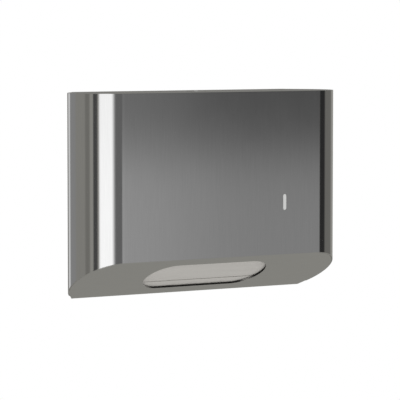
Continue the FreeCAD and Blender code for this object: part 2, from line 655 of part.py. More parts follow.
lock_housing = new_body("lock_housing", forward="lock_forward")
sketch = sketch_on(lock_housing, "XY_Plane", lock_seat)
draw_circle(sketch, "0", "0", "dimple_diameter / 2 - lock_head_gap")
pad(lock_housing, sketch, "lock_head")
sketch = sketch_on(lock_housing, "XY_Plane", lock_seat)
draw_circle(sketch, "0", "0", "lock_body_diameter / 2")
pad(lock_housing, sketch, "lock_body_length", reverse=True)
sketch = sketch_on(lock_housing, "XY_Plane")
draw_circle(sketch, "0", "0", "barrel_diameter / 2 + barrel_play")
cut(lock_housing, sketch)

lock_nut = new_body("lock_nut", forward="lock_forward")
sketch = sketch_on(lock_nut, "XY_Plane", f"{lock_seat} - cover_sheet")
corner = "nut_across / 2 / cos(30 deg)"
draw_outline(sketch, [(f"{corner} * cos({angle} deg)", f"{corner} * sin({angle} deg)")
                      for angle in range(0, 360, 60)])
pad(lock_nut, sketch, "nut_thickness", reverse=True)
sketch = sketch_on(lock_nut, "XY_Plane")
draw_circle(sketch, "0", "0", "lock_body_diameter / 2 + lock_fit")
cut(lock_nut, sketch)

lock_barrel = new_body("lock_barrel", forward="lock_forward")
sketch = sketch_on(lock_barrel, "XY_Plane", f"{lock_seat} + lock_head")
draw_circle(sketch, "0", "0", "barrel_diameter / 2")
pad(lock_barrel, sketch, "lock_head + lock_body_length", reverse=True)
sketch = sketch_on(lock_barrel, "XY_Plane", cam_under)
draw_box(sketch, "-tail_size / 2", "tail_size / 2", "-tail_size / 2", "tail_size / 2")
pad(lock_barrel, sketch, "cam_sheet + cam_drop")
sketch = sketch_on(lock_barrel, "XY_Plane", cam_under)
draw_circle(sketch, "0", "0", "screw_diameter / 2")
cut(lock_barrel, sketch, "screw_length + cam_drop", reverse=True)
sketch = sketch_on(lock_barrel, "XY_Plane", f"{lock_seat} + lock_head")
draw_box(sketch, "-keyway_width / 2", "keyway_width / 2", "-keyway_length / 2", "keyway_length / 2")
cut(lock_barrel, sketch, "keyway_depth")

lock_cam = new_body("lock_cam", forward="lock_forward")
sketch = sketch_on(lock_cam, "XY_Plane", cam_under)
draw_long_hole(sketch, "0", "(cam_length - cam_width / 2) / 2", "cam_length + cam_width / 2",
               "cam_width", upright=True)
pad(lock_cam, sketch, "cam_sheet")
sketch = sketch_on(lock_cam, "XY_Plane")
square = "(tail_size / 2 + tail_fit)"
draw_box(sketch, f"-{square}", square, f"-{square}", square)
cut(lock_cam, sketch)

cam_screw = new_body("cam_screw", forward="lock_forward")
sketch = sketch_on(cam_screw, "XY_Plane", cam_under)
draw_circle(sketch, "0", "0", "screw_head_diameter / 2")
pad(cam_screw, sketch, "screw_head", reverse=True)
sketch = sketch_on(cam_screw, "XY_Plane", cam_under)
draw_circle(sketch, "0", "0", "screw_diameter / 2")
pad(cam_screw, sketch, "screw_length")

# Strike: a folded arm, spot-welded to the back plate, whose tab stops the locked cam.

tab_rear = "(lock_forward + cam_width / 2 + strike_play)"
lock_strike = new_body("lock_strike")
sketch = sketch_on(lock_strike, "YZ_Plane", "strike_x")
draw_outline(sketch, [
    ("-plate_sheet", strike_arm),
    ("-plate_sheet", f"{strike_arm} - strike_base"),
    ("-(plate_sheet + strike_sheet)", f"{strike_arm} - strike_base"),
    ("-(plate_sheet + strike_sheet)", f"{strike_arm} - strike_sheet"),
    (f"-({tab_rear} + strike_sheet)", f"{strike_arm} - strike_sheet"),
    (f"-({tab_rear} + strike_sheet)", f"{strike_arm} + strike_tab"),
    (f"-{tab_rear}", f"{strike_arm} + strike_tab"),
    (f"-{tab_rear}", strike_arm),
])
pad(lock_strike, sketch, "strike_width", middle=True)

# Check every object, then write each sub-part's solids.

doc.recompute()
for item in doc.Objects:
    if "Invalid" in item.State or "Error" in item.State:
        raise RuntimeError(f"{item.Label} could not be built: {item.State}")
os.makedirs("parts", exist_ok=True)
for body in doc.findObjects("PartDesign::Body"):
    shape = body.Shape
    if shape.isNull() or not shape.isValid() or not shape.Solids:
        raise RuntimeError(f"{body.Label} is not a valid solid")
    shape.exportStep(f"parts/{body.Label}.step")
    print(f"{body.Label}: {len(shape.Solids)} solid(s), {shape.Volume:.0f} mm3")
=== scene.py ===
import math
import bmesh
import bpy
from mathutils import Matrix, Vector


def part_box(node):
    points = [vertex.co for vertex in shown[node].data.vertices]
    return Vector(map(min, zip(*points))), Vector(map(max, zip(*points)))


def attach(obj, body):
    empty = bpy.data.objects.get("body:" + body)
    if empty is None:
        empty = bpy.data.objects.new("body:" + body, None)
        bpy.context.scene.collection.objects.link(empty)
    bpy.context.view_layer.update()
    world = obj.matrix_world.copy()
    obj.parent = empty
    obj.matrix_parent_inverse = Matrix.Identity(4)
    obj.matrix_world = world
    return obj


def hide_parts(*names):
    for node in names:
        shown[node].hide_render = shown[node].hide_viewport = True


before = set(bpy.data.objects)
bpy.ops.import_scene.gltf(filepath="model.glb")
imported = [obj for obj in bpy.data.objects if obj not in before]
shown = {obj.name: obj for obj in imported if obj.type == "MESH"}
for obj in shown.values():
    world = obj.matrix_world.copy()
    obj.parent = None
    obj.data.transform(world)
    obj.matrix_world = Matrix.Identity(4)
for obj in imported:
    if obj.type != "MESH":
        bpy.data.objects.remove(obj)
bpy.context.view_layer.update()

# Back plate, hinge brackets and strike: mill-finished steel sheet, cut, folded and deburred.
# They hang on the wall behind the cover, so they keep the rolling marks of the sheet.


def feed(tree, socket, value):
    """Lead another socket's output, or a plain value, into a socket."""
    if isinstance(value, bpy.types.NodeSocket):
        tree.links.new(value, socket)
    else:
        socket.default_value = value


def scaled(tree, vector, factor):
    """A vector or a colour, times a factor."""
    node = tree.nodes.new("ShaderNodeVectorMath")
    node.operation = "SCALE"
    feed(tree, node.inputs[0], vector)
    feed(tree, node.inputs["Scale"], factor)
    return node.outputs["Vector"]


def ranged(tree, value, low, high, new_low=0.0, new_high=1.0, smooth=False):
    """A value whose range from low to high is laid on another range."""
    node = tree.nodes.new("ShaderNodeMapRange")
    if smooth:
        node.interpolation_type = "SMOOTHSTEP"
    feed(tree, node.inputs["Value"], value)
    for name, limit in (("From Min", low), ("From Max", high), ("To Min", new_low), ("To Max", new_high)):
        node.inputs[name].default_value = limit
    return node.outputs["Result"]


def stretched(tree, place, grain):
    """Places drawn out, most along the direction with the smallest number."""
    node = tree.nodes.new("ShaderNodeMapping")
    node.inputs["Scale"].default_value = grain
    feed(tree, node.inputs["Vector"], place)
    return node.outputs["Vector"]


def noise(tree, place, scale, detail, roughness=0.5):
    """A cloudy pattern between 0 and 1."""
    node = tree.nodes.new("ShaderNodeTexNoise")
    node.inputs["Scale"].default_value = scale
    node.inputs["Detail"].default_value = detail
    node.inputs["Roughness"].default_value = roughness
    feed(tree, node.inputs["Vector"], place)
    return node.outputs["Fac"]


def engrave(tree, surface, pattern, depth):
    """Let a pattern lie in the surface as shallow relief."""
    node = tree.nodes.new("ShaderNodeBump")
    node.inputs["Strength"].default_value = 0.5
    node.inputs["Distance"].default_value = depth
    feed(tree, node.inputs["Height"], pattern)
    feed(tree, surface.inputs["Normal"], node.outputs["Normal"])


noise_low, noise_high = 0.3, 0.7
streak_contrast, cloud_contrast = 0.03, 0.08


def sheet_steel(name, colour, roughness, grain, grooves=0.000002):
    """Steel with streaks along its grain, and clouds that are a little duller or brighter."""
    steel = bpy.data.materials.new(name)
    steel.use_nodes = True
    tree = steel.node_tree
    surface = tree.nodes["Principled BSDF"]
    surface.inputs["Metallic"].default_value = 1.0
    surface.inputs["IOR"].default_value = 2.5
    place = tree.nodes.new("ShaderNodeTexCoord").outputs["Object"]
    streaks = noise(tree, stretched(tree, place, grain), scale=1.0, detail=4.0, roughness=0.6)
    clouds = noise(tree, place, scale=18.0, detail=3.0)
    tone = ranged(tree, streaks, noise_low, noise_high,
                  new_low=1 - streak_contrast, new_high=1 + streak_contrast)
    paint = scaled(tree, colour, tone)
    paint.node.name = "paint"
    feed(tree, surface.inputs["Base Color"], paint)
    dull = ranged(tree, clouds, noise_low, noise_high,
                  new_low=roughness * (1 - cloud_contrast), new_high=roughness * (1 + cloud_contrast))
    dull.node.name = "dull"
    feed(tree, surface.inputs["Roughness"], dull)
    engrave(tree, surface, streaks, depth=grooves)
    return steel


def flatten_normals(piece):
    """Let the large flat faces set the shading at their edges."""
    flats = piece.modifiers.new("true_flats", "WEIGHTED_NORMAL")
    flats.mode = "FACE_AREA"
    flats.weight = 100


def ease_edges(piece, width, sharpest):
    """Break the edges that turn by more than an angle."""
    bevel = piece.modifiers.new("eased_edges", "BEVEL")
    bevel.width = width
    bevel.segments = 2
    bevel.limit_method = "ANGLE"
    bevel.angle_limit = math.radians(sharpest)


def finish_nodes(material, *names, eased=0.0):
    """Give CAD nodes a finish and, where wanted, edges that are broken a little."""
    for name in names:
        node = shown[name]
        node.data.materials.clear()
        node.data.materials.append(material)
        if eased:
            # Its faces are loose triangles, which have to be whole flats before an edge is broken.
            weld = node.modifiers.new("joined_faces", "WELD")
            weld.merge_threshold = 0.000005
            joined = node.modifiers.new("whole_flats", "DECIMATE")
            joined.decimate_type = "DISSOLVE"
            joined.angle_limit = math.radians(0.1)
            ease_edges(node, eased, sharpest=40)
            flatten_normals(node)


mill_colour = (0.56, 0.56, 0.55)
mill_roughness = 0.3
rolled_grain = (900.0, 900.0, 25.0)
inner_steel = sheet_steel("inner_steel", mill_colour, mill_roughness, rolled_grain, grooves=0.00001)
finish_nodes(inner_steel, "back_plate", "hinge_bracket_left", "hinge_bracket_right", "lock_strike",
             eased=0.0002)

# Rivets, hinge pins and cam screw: plain drawn steel, brighter than the sheet round them.
# The rivets are set flush on the wall side, and each pin has one turned head and one spread end.

drawn_colour = (0.62, 0.61, 0.6)
drawn_roughness = 0.25
drawn_grain = (700.0, 700.0, 700.0)
fastener_steel = sheet_steel("fastener_steel", drawn_colour, drawn_roughness, drawn_grain, grooves=0.000006)
finish_nodes(fastener_steel, "bracket_rivets", "hinge_pin_left", "hinge_pin_right", "cam_screw")

# Towel tray and side guides: thin folded sheet, its grain along the fold.
# The tray has an opening over the slot, and the guides keep the pile straight.

tray_colour = (0.55, 0.55, 0.54)
tray_roughness = 0.32
folded_grain = (25.0, 900.0, 900.0)
tray_steel = sheet_steel("tray_steel", tray_colour, tray_roughness, folded_grain, grooves=0.00001)
finish_nodes(tray_steel, "towel_tray", "side_guide_left", "side_guide_right", eased=0.00015)

# Spot welds: small flat marks where the tray, the guides and the strike are fused to the back plate.
# They are left by the round tips of the welding tongs, a little bluer and duller than the sheet.

fused_colour = (0.34, 0.35, 0.38)
fused_roughness = 0.45
fused_grain = (600.0, 600.0, 600.0)
weld_spot = sheet_steel("weld_spot", fused_colour, fused_roughness, fused_grain, grooves=0.000008)
weld_radius = 0.0024
weld_height = 0.00015
weld_corners = 24
tray_flange_face = -0.0022
strike_face = -0.0032
tray_weld_count = 5
tray_weld_pitch = 0.05
tray_weld_rise = 0.0215
guide_weld_count = 4
guide_weld_pitch = 0.044
guide_weld_drop = 0.02
guide_weld_inset = 0.005
strike_weld_offset = 0.007
strike_weld_rise = 0.008
tray_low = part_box("towel_tray")[0]
guide_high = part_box("side_guide_right")[1]
strike_low, strike_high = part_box("lock_strike")
strike_middle = (strike_low.x + strike_high.x) / 2
weld_places = []
for step in range(tray_weld_count):
    across = tray_weld_pitch * (step - (tray_weld_count - 1) / 2)
    weld_places.append((across, tray_flange_face, tray_low.z + tray_weld_rise))
for side in (-1, 1):
    for step in range(guide_weld_count):
        height = guide_high.z - guide_weld_drop - guide_weld_pitch * step
        weld_places.append((side * (guide_high.x - guide_weld_inset), tray_flange_face, height))
for side in (-1, 1):
    across = strike_middle + side * strike_weld_offset
    weld_places.append((across, strike_face, strike_low.z + strike_weld_rise))


def tree_input(tree, name, kind):
    """A named input of a Geometry Nodes tree, as the identifier that a modifier needs."""
    return tree.interface.new_socket(name, in_out="INPUT", socket_type="NodeSocket" + kind).identifier


def close_tree(tree, instances, finish):
    """End a tree with real geometry in its material."""
    tree.interface.new_socket("Result", in_out="OUTPUT", socket_type="NodeSocketGeometry")
    solid = tree.nodes.new("GeometryNodeRealizeInstances")
    feed(tree, solid.inputs["Geometry"], instances)
    paint = tree.nodes.new("GeometryNodeSetMaterial")
    feed(tree, paint.inputs["Geometry"], solid.outputs["Geometry"])
    feed(tree, paint.inputs["Material"], finish)
    result = tree.nodes.new("NodeGroupOutput")
    feed(tree, result.inputs["Result"], paint.outputs["Geometry"])


weld_tree = bpy.data.node_groups.new("weld_marks", "GeometryNodeTree")
tree_input(weld_tree, "Places", "Geometry")
radius_socket = tree_input(weld_tree, "Radius", "Float")
height_socket = tree_input(weld_tree, "Height", "Float")
finish_socket = tree_input(weld_tree, "Finish", "Material")
given = weld_tree.nodes.new("NodeGroupInput")
disc = weld_tree.nodes.new("GeometryNodeMeshCylinder")
disc.inputs["Vertices"].default_value = weld_corners
feed(weld_tree, disc.inputs["Radius"], given.outputs["Radius"])
feed(weld_tree, disc.inputs["Depth"], given.outputs["Height"])
scatter = weld_tree.nodes.new("GeometryNodeInstanceOnPoints")
scatter.inputs["Rotation"].default_value = (math.pi / 2, 0.0, 0.0)
feed(weld_tree, scatter.inputs["Points"], given.outputs["Places"])
feed(weld_tree, scatter.inputs["Instance"], disc.outputs["Mesh"])
close_tree(weld_tree, scatter.outputs["Instances"], given.outputs["Finish"])


def placed(name, data):
    """A new object in the scene."""
    piece = bpy.data.objects.new(name, data)
    bpy.context.collection.objects.link(piece)
    return piece


def settle(piece):
    """Turn what an object's modifiers make into its plain mesh."""
    bpy.context.view_layer.update()
    evaluated = piece.evaluated_get(bpy.context.evaluated_depsgraph_get())
    mesh = bpy.data.meshes.new_from_object(evaluated)
    piece.modifiers.clear()
    piece.data = mesh


def grown(name, base, tree, inputs):
    """The plain mesh object that a Geometry Nodes tree makes of a base mesh."""
    piece = placed(name, base)
    growth = piece.modifiers.new("growth", "NODES")
    growth.node_group = tree
    for socket, value in inputs.items():
        growth[socket] = value
    settle(piece)
    return piece


weld_base = bpy.data.meshes.new("weld_places")
weld_base.from_pydata(weld_places, [], [])
spot_welds = grown("spot_welds", weld_base, weld_tree, {
    radius_socket: weld_radius,
    height_socket: weld_height,
    finish_socket: weld_spot,
})
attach(spot_welds, "cabinet")

# Towels: tissue paper, soft and matt, folded and stacked on the tray, which bends them at the knee.
# Each one's closed fold and its ripples across the width show at the open front of the pile.


def figure(tree, operation, *terms):
    """What a math node makes of sockets and plain numbers."""
    node = tree.nodes.new("ShaderNodeMath")
    node.operation = operation
    for socket, term in zip(node.inputs, terms):
        feed(tree, socket, term)
    return node.outputs["Value"]


crepe_grain = (6.0, 90.0, 90.0)
crepe_depth = 0.0002


def tissue(name, colour):
    """Matt paper with fine fibres, and with wrinkles along the fold."""
    paper = bpy.data.materials.new(name)
    paper.use_nodes = True
    tree = paper.node_tree
    surface = tree.nodes["Principled BSDF"]
    surface.inputs["Roughness"].default_value = 0.95
    surface.inputs["Specular IOR Level"].default_value = 0.15
    place = tree.nodes.new("ShaderNodeTexCoord").outputs["Object"]
    fibres = noise(tree, place, scale=900.0, detail=5.0)
    wrinkles = noise(tree, stretched(tree, place, crepe_grain), scale=1.0, detail=2.0)
    crepe = figure(tree, "ADD", fibres, wrinkles)
    mottle = ranged(tree, crepe, 2 * noise_low, 2 * noise_high, new_low=0.93, new_high=1.04)
    feed(tree, surface.inputs["Base Color"], scaled(tree, colour, mottle))
    engrave(tree, surface, crepe, depth=crepe_depth)
    return paper


paper_colour = (0.578, 0.559, 0.525)
towel_paper = tissue("towel_paper", paper_colour)
wrap_low, wrap_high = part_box("cover_wrap")
stack_low, stack_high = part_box("towel_stack")
front_bottom = 0.0526
bottom_setback = 0.0222
slope = math.atan(front_bottom / (-wrap_low.y - bottom_setback))
knee_softness = 0.002
towel_half = stack_high.x
towel_rear = -stack_high.y
towel_front = -stack_low.y
towel_count = 48
towel_waves = 16
towel_ripples = ((0.00012, 5.3, 0.0), (0.00008, 2.1, 0.0))
fold_steps = 8
length_steps = 14
fold_share = 0.46
pile_shift = (0.0007, 0.0006, 0.0)
pile_seed = 7


def towel_rise(forward):
    """How far a towel's underside has risen, softly bent over the knee of the tray."""
    past = (forward - bottom_setback) / 2
    return math.tan(slope) * (past + math.hypot(past, knee_softness))


def rippled(ripples, wave):
    """The height of a few ripples, each with its own height, pace and start."""
    return sum(height * math.sin(pace * wave + start) for height, pace, start in ripples)


def extruded(name, sections, smooth=True, crease=None):
    """A closed mesh through equal outlines of points, one after another."""
    mesh = bpy.data.meshes.new(name)
    shape = bmesh.new()
    rings = [[shape.verts.new(point) for point in section] for section in sections]
    count = len(rings[0])
    for here, there in zip(rings, rings[1:]):
        for index in range(count):
            after = (index + 1) % count
            shape.faces.new((here[index], there[index], there[after], here[after]))
    shape.faces.new(rings[0])
    shape.faces.new(list(reversed(rings[-1])))
    bmesh.ops.recalc_face_normals(shape, faces=shape.faces)
    shape.to_mesh(mesh)
    shape.free()
    for face in mesh.polygons:
        face.use_smooth = smooth
    if crease:
        mesh.set_sharp_from_angle(angle=math.radians(crease))
    return mesh


stack_thickness = stack_high.z - stack_low.z - towel_rise(towel_front)
towel_pitch = stack_thickness / towel_count
fold_radius = towel_pitch * fold_share
rear_fold = towel_rear + fold_radius
fold_distance = towel_front - towel_rear - 2 * fold_radius
stations = [rear_fold + fold_distance * step / length_steps for step in range(length_steps + 1)]
fold_turns = [math.pi * step / fold_steps for step in range(fold_steps + 1)]
outline = []
for turn in fold_turns:
    outline.append((stations[0] - fold_radius * math.sin(turn), fold_radius * math.cos(turn)))
outline += [(forward, -fold_radius) for forward in stations[1:-1]]
for turn in fold_turns:
    outline.append((stations[-1] + fold_radius * math.sin(turn), -fold_radius * math.cos(turn)))
outline += [(forward, fold_radius) for forward in reversed(stations[1:-1])]
lowest = stack_low.z + towel_pitch / 2
sections = []
for wave in range(towel_waves + 1):
    across = towel_half * (2 * wave / towel_waves - 1)
    sway = rippled(towel_ripples, wave)
    sections.append([(across, -forward - sway, lowest + lift + sway + towel_rise(forward))
                     for forward, lift in outline])

pile_tree = bpy.data.node_groups.new("towel_pile", "GeometryNodeTree")
tree_input(pile_tree, "Towel", "Geometry")
count_socket = tree_input(pile_tree, "Count", "Int")
pitch_socket = tree_input(pile_tree, "Pitch", "Vector")
shift_socket = tree_input(pile_tree, "Shift", "Vector")
seed_socket = tree_input(pile_tree, "Seed", "Int")
paper_socket = tree_input(pile_tree, "Paper", "Material")
given = pile_tree.nodes.new("NodeGroupInput")
levels = pile_tree.nodes.new("GeometryNodeMeshLine")
levels.mode = "OFFSET"
feed(pile_tree, levels.inputs["Count"], given.outputs["Count"])
feed(pile_tree, levels.inputs["Offset"], given.outputs["Pitch"])
stacked = pile_tree.nodes.new("GeometryNodeInstanceOnPoints")
feed(pile_tree, stacked.inputs["Points"], levels.outputs["Mesh"])
feed(pile_tree, stacked.inputs["Instance"], given.outputs["Towel"])
chance = pile_tree.nodes.new("FunctionNodeRandomValue")
chance.data_type = "FLOAT_VECTOR"
feed(pile_tree, chance.inputs[0], scaled(pile_tree, given.outputs["Shift"], -1.0))
feed(pile_tree, chance.inputs[1], given.outputs["Shift"])
feed(pile_tree, chance.inputs["Seed"], given.outputs["Seed"])
moved = pile_tree.nodes.new("GeometryNodeTranslateInstances")
feed(pile_tree, moved.inputs["Instances"], stacked.outputs["Instances"])
feed(pile_tree, moved.inputs["Translation"], chance.outputs[0])
close_tree(pile_tree, moved.outputs["Instances"], given.outputs["Paper"])

towel_pile = grown("towel_pile", extruded("folded_towel", sections, crease=50), pile_tree, {
    count_socket: towel_count,
    pitch_socket: (0.0, 0.0, towel_pitch),
    shift_socket: pile_shift,
    seed_socket: pile_seed,
    paper_socket: towel_paper,
})
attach(towel_pile, "cabinet")
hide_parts("towel_stack")

# Lowest towel: the one that is pulled next, lying over the slot and sagging a little into it.
# Its outermost flap ends in line with the slot's long sides, and its free edge lifts slightly.

paper_depth = 0.0032
lead_thickness = 0.0012
lead_start = 0.003
lead_end = (towel_front - bottom_setback + paper_depth * math.sin(slope)) / math.cos(slope)
lead_steps = 20
lead_waves = 24
lead_ripples = ((0.00012, 1.7, 0.0), (0.00006, 4.1, 1.0))
pinched_share = 0.35
sag_start, sag_length, sag_depth = 0.03, 0.06, 0.0005
flap_edge = 0.0318
flap_thickness = 0.0005
flap_lift = 0.0002
flap_steps = 12
flap_root_share, flap_thinning = 0.9, 0.5


def under_slope(along, depth):
    """The point some way up the slanted bottom, and some way in from its outer face."""
    forward = bottom_setback + along * math.cos(slope) - depth * math.sin(slope)
    return forward, wrap_low.z + along * math.sin(slope) + depth * math.cos(slope)


def paper_section(across, layers):
    """The outline of a sheet at one place of its width, from its depth and thickness along the slope."""
    lower = [under_slope(along, depth) for along, depth, thickness in layers]
    upper = [under_slope(along, depth + thickness) for along, depth, thickness in layers]
    return [(across, -forward, height) for forward, height in lower + upper[::-1]]


lead_sections = []
flap_sections = []
for wave in range(lead_waves + 1):
    across = towel_half * (2 * wave / lead_waves - 1)
    ripple = rippled(lead_ripples, wave)
    layers = []
    for step in range(lead_steps + 1):
        along = lead_start + (lead_end - lead_start) * step / lead_steps
        sag = sag_depth * math.sin(math.pi * min(1.0, max(0.0, (along - sag_start) / sag_length)))
        depth = paper_depth + flap_thickness - sag + ripple * math.sin(math.pi * step / lead_steps)
        share = pinched_share if step in (0, lead_steps) else 1.0
        layers.append((along, depth, lead_thickness * share))
    lead_sections.append(paper_section(across, layers))
    layers = []
    for step in range(flap_steps + 1):
        reach = step / flap_steps
        along = lead_start + (flap_edge - lead_start) * step / flap_steps
        depth = paper_depth + ripple * math.sin(math.pi * step / (2 * flap_steps)) - flap_lift * reach ** 3
        share = flap_root_share - flap_thinning * reach ** 2
        layers.append((along, depth, flap_thickness * share))
    flap_sections.append(paper_section(across, layers))
for name, sections in (("lead_fold", lead_sections), ("lead_flap", flap_sections)):
    piece = placed(name, extruded(name, sections, crease=50))
    piece.data.materials.append(towel_paper)
    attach(piece, "cabinet")
    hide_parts("lead_towel")

# Cover, slanted bottom and top: satin stainless sheet, ground along its length.
# The punched edges and the turned rim of the slot are duller, and their colour is darkened nearly to black
# as painted shade, with less painted shade at the rim's lower bends.

satin_colour = (0.6, 0.597, 0.588)
satin_roughness = 0.08
across_grain = (30.0, 1400.0, 1400.0)
plate_steel = sheet_steel("plate_steel", satin_colour, satin_roughness, across_grain)
finish_nodes(plate_steel, "cover_top")

sheet = 0.0012
face_play = 0.00015
rim_painted_shade = 0.05
rim_roughness = 0.4
edge_on = 0.7
left_bend_start, left_bend_end = -0.081, -0.064
right_bend_middle = 0.0805
right_bend_inner, right_bend_outer = 0.002, 0.008
right_bend_shade = 0.25
inward = Vector((0.0, math.sin(slope), math.cos(slope)))
foot = Vector((0.0, -bottom_setback, wrap_low.z))


def measured(tree, vector, direction):
    """How far a vector reaches along a direction."""
    node = tree.nodes.new("ShaderNodeVectorMath")
    node.operation = "DOT_PRODUCT"
    feed(tree, node.inputs[0], vector)
    feed(tree, node.inputs[1], direction)
    return node.outputs["Value"]


# The rim is what lies inside the outer face and turns away from it, and it gets painted shade. The bends,
# with less painted shade, are found by their place.
slotted_steel = sheet_steel("slotted_steel", satin_colour, satin_roughness, across_grain)
tree = slotted_steel.node_tree
surface = tree.nodes["Principled BSDF"]
place = tree.nodes.new("ShaderNodeTexCoord")
depth = measured(tree, place.outputs["Object"], inward)
inside = figure(tree, "GREATER_THAN", depth, inward.dot(foot) + face_play)
on_edge = figure(tree, "COMPARE", measured(tree, place.outputs["Normal"], inward), 0.0, edge_on)
rim = figure(tree, "MULTIPLY", inside, on_edge)
sides = tree.nodes.new("ShaderNodeSeparateXYZ")
feed(tree, sides.inputs[0], place.outputs["Object"])
past_left = ranged(tree, sides.outputs["X"], left_bend_start, left_bend_end)
from_right = figure(tree, "ABSOLUTE", figure(tree, "SUBTRACT", sides.outputs["X"], right_bend_middle))
off_right = ranged(tree, from_right, right_bend_inner, right_bend_outer, new_low=right_bend_shade)
rim_shade_mask = figure(tree, "MULTIPLY", rim, figure(tree, "MULTIPLY", past_left, off_right))
# Painted shade: the rim's colour is darkened nearly to black, and less at the bends.
shade = ranged(tree, rim_shade_mask, 0.0, 1.0, new_low=1.0, new_high=rim_painted_shade)
shaded_colour = scaled(tree, tree.nodes["paint"].outputs["Vector"], shade)
rougher = figure(tree, "MULTIPLY_ADD", rim_shade_mask, rim_roughness, tree.nodes["dull"].outputs["Result"])
feed(tree, surface.inputs["Base Color"], shaded_colour)
feed(tree, surface.inputs["Roughness"], rougher)
finish_nodes(slotted_steel, "cover_bottom")
finish_nodes(inner_steel, "hinge_lug_left", "hinge_lug_right", eased=0.0002)

# Cover, rolled front and sides: one satin sheet, bent round two large corners.
# The sheet's underside is cut to the slope of the bottom plate, and its heels to an arc.

upright_grain = (1400.0, 1400.0, 30.0)
satin_steel = sheet_steel("satin_steel", satin_colour, satin_roughness, upright_grain)
corner_radius = 0.0495
lean = math.radians(38)
hinge_forward, hinge_height = 0.009, 0.008
heel_radius = hinge_forward + wrap_high.y
corner_steps = 96
heel_steps = 8
heel_margin = 0.012
flat_margin = 0.0015
edge_margin = 0.0008
edge_ease = 0.00015
window_x, window_rise = 0.0981, 0.1231
window_width, window_height = 0.005, 0.0216
window_steps = 48
punch_reach = 0.01


def wrap_edge(inset):
    """The right half of the sheet seen from above, from the middle of the front to the rear edge."""
    radius = corner_radius - inset
    centre = Vector((wrap_high.x - corner_radius, wrap_low.y + corner_radius))
    points = [Vector((0.0, centre.y - radius)), Vector((centre.x - flat_margin, centre.y - radius))]
    for step in range(corner_steps + 1):
        turn = (math.pi / 2 + lean) * step / corner_steps
        points.append(centre + radius * Vector((math.sin(turn), -math.cos(turn))))
    along = Vector((-math.sin(lean), math.cos(lean)))
    end = points[-1]
    reach = (wrap_high.y - end.y) / along.y
    points.append(end + along * flat_margin)
    for step in range(1, heel_steps + 1):
        points.append(end + along * (reach - heel_margin * (1 - step / heel_steps)))
    return points


def wrap_foot(y):
    """Height of the sheet's lower edge at a distance from the wall."""
    forward = -y
    height = max(0.0, (forward - bottom_setback) * math.tan(slope))
    if forward < hinge_forward:
        across = min(heel_radius, hinge_forward - forward)
        height = hinge_height - math.sqrt(heel_radius ** 2 - across ** 2)
    return wrap_low.z + height


def both_halves(points):
    """A half outline with its mirror image, from the left rear edge to the right one."""
    return [Vector((-point.x, point.y)) for point in reversed(points[1:])] + points


columns = []
for out, back in zip(both_halves(wrap_edge(0.0)), both_halves(wrap_edge(sheet))):
    foot_out, foot_back = wrap_foot(out.y), wrap_foot(back.y)
    levels_out = (foot_out, foot_out + edge_margin, wrap_high.z - edge_margin, wrap_high.z)
    levels_back = (wrap_high.z, wrap_high.z - edge_margin, foot_back + edge_margin, foot_back)
    columns.append([(out.x, out.y, height) for height in levels_out]
                   + [(back.x, back.y, height) for height in levels_back])
rolled_cover = placed("rolled_cover", extruded("rolled_cover", columns))

# Window hole: punched through the front of the cover, upright, with half-round ends.
# The level window is snapped into it from behind.

window_radius = window_width / 2
hole_outline = []
for step in range(window_steps):
    turn = 2 * math.pi * (step + 0.5) / window_steps
    rise = math.copysign((window_height - window_width) / 2, math.sin(turn)) + window_radius * math.sin(turn)
    hole_outline.append((window_x + window_radius * math.cos(turn), wrap_low.z + window_rise + rise))
punch_sections = [[(x, wrap_low.y + reach, z) for x, z in hole_outline]
                  for reach in (-punch_reach, punch_reach)]
punch = placed("window_punch", extruded("window_punch", punch_sections, smooth=False))
hole = rolled_cover.modifiers.new("window", "BOOLEAN")
hole.operation = "DIFFERENCE"
hole.object = punch
hole.solver = "EXACT"
ease_edges(rolled_cover, edge_ease, sharpest=35)
flatten_normals(rolled_cover)
settle(rolled_cover)
bpy.data.objects.remove(punch)
rolled_cover.data.materials.clear()
rolled_cover.data.materials.append(satin_steel)
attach(rolled_cover, "cover")
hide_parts("cover_wrap")

# Level window: a small white moulded lens, snapped in from behind.
# It shows how high the towels stand.


def mixed(tree, share, first, second):
    """A blend of two colours, from the first at a share of 0 to the second at 1."""
    node = tree.nodes.new("ShaderNodeMix")
    node.data_type = "RGBA"
    share_input, first_colour, second_colour, colour_output = 0, 6, 7, 2
    feed(tree, node.inputs[share_input], share)
    feed(tree, node.inputs[first_colour], first)
    feed(tree, node.inputs[second_colour], second)
    return node.outputs[colour_output]


milk_thin, milk_thick = (0.7, 0.7, 0.69, 1.0), (0.74, 0.74, 0.73, 1.0)
window_white = bpy.data.materials.new("window_white")
window_white.use_nodes = True
tree = window_white.node_tree
surface = tree.nodes["Principled BSDF"]
surface.inputs["Roughness"].default_value = 0.35
place = tree.nodes.new("ShaderNodeTexCoord").outputs["Object"]
haze = noise(tree, place, scale=120.0, detail=2.0)
milky = mixed(tree, haze, milk_thin, milk_thick)
feed(tree, surface.inputs["Base Color"], milky)
finish_nodes(window_white, "level_window")

# Lock: plated housing, nut and barrel, and a plated steel cam that points to the wall when open.
# The nut clamps the housing from below into the dimple of the top plate.

plated_colour = (0.7, 0.7, 0.7)
plated_roughness = 0.16
plated_grain = (500.0, 500.0, 500.0)
lock_plating = sheet_steel("lock_plating", plated_colour, plated_roughness, plated_grain)
finish_nodes(lock_plating, "lock_housing", "lock_nut", "lock_barrel", "lock_cam", eased=0.0002)

# Studio: a white floor well below the wall-hung part, and the same white all round it.
# Steel shows grey walls instead, with the soft box, the flags and the grey cards round the part.

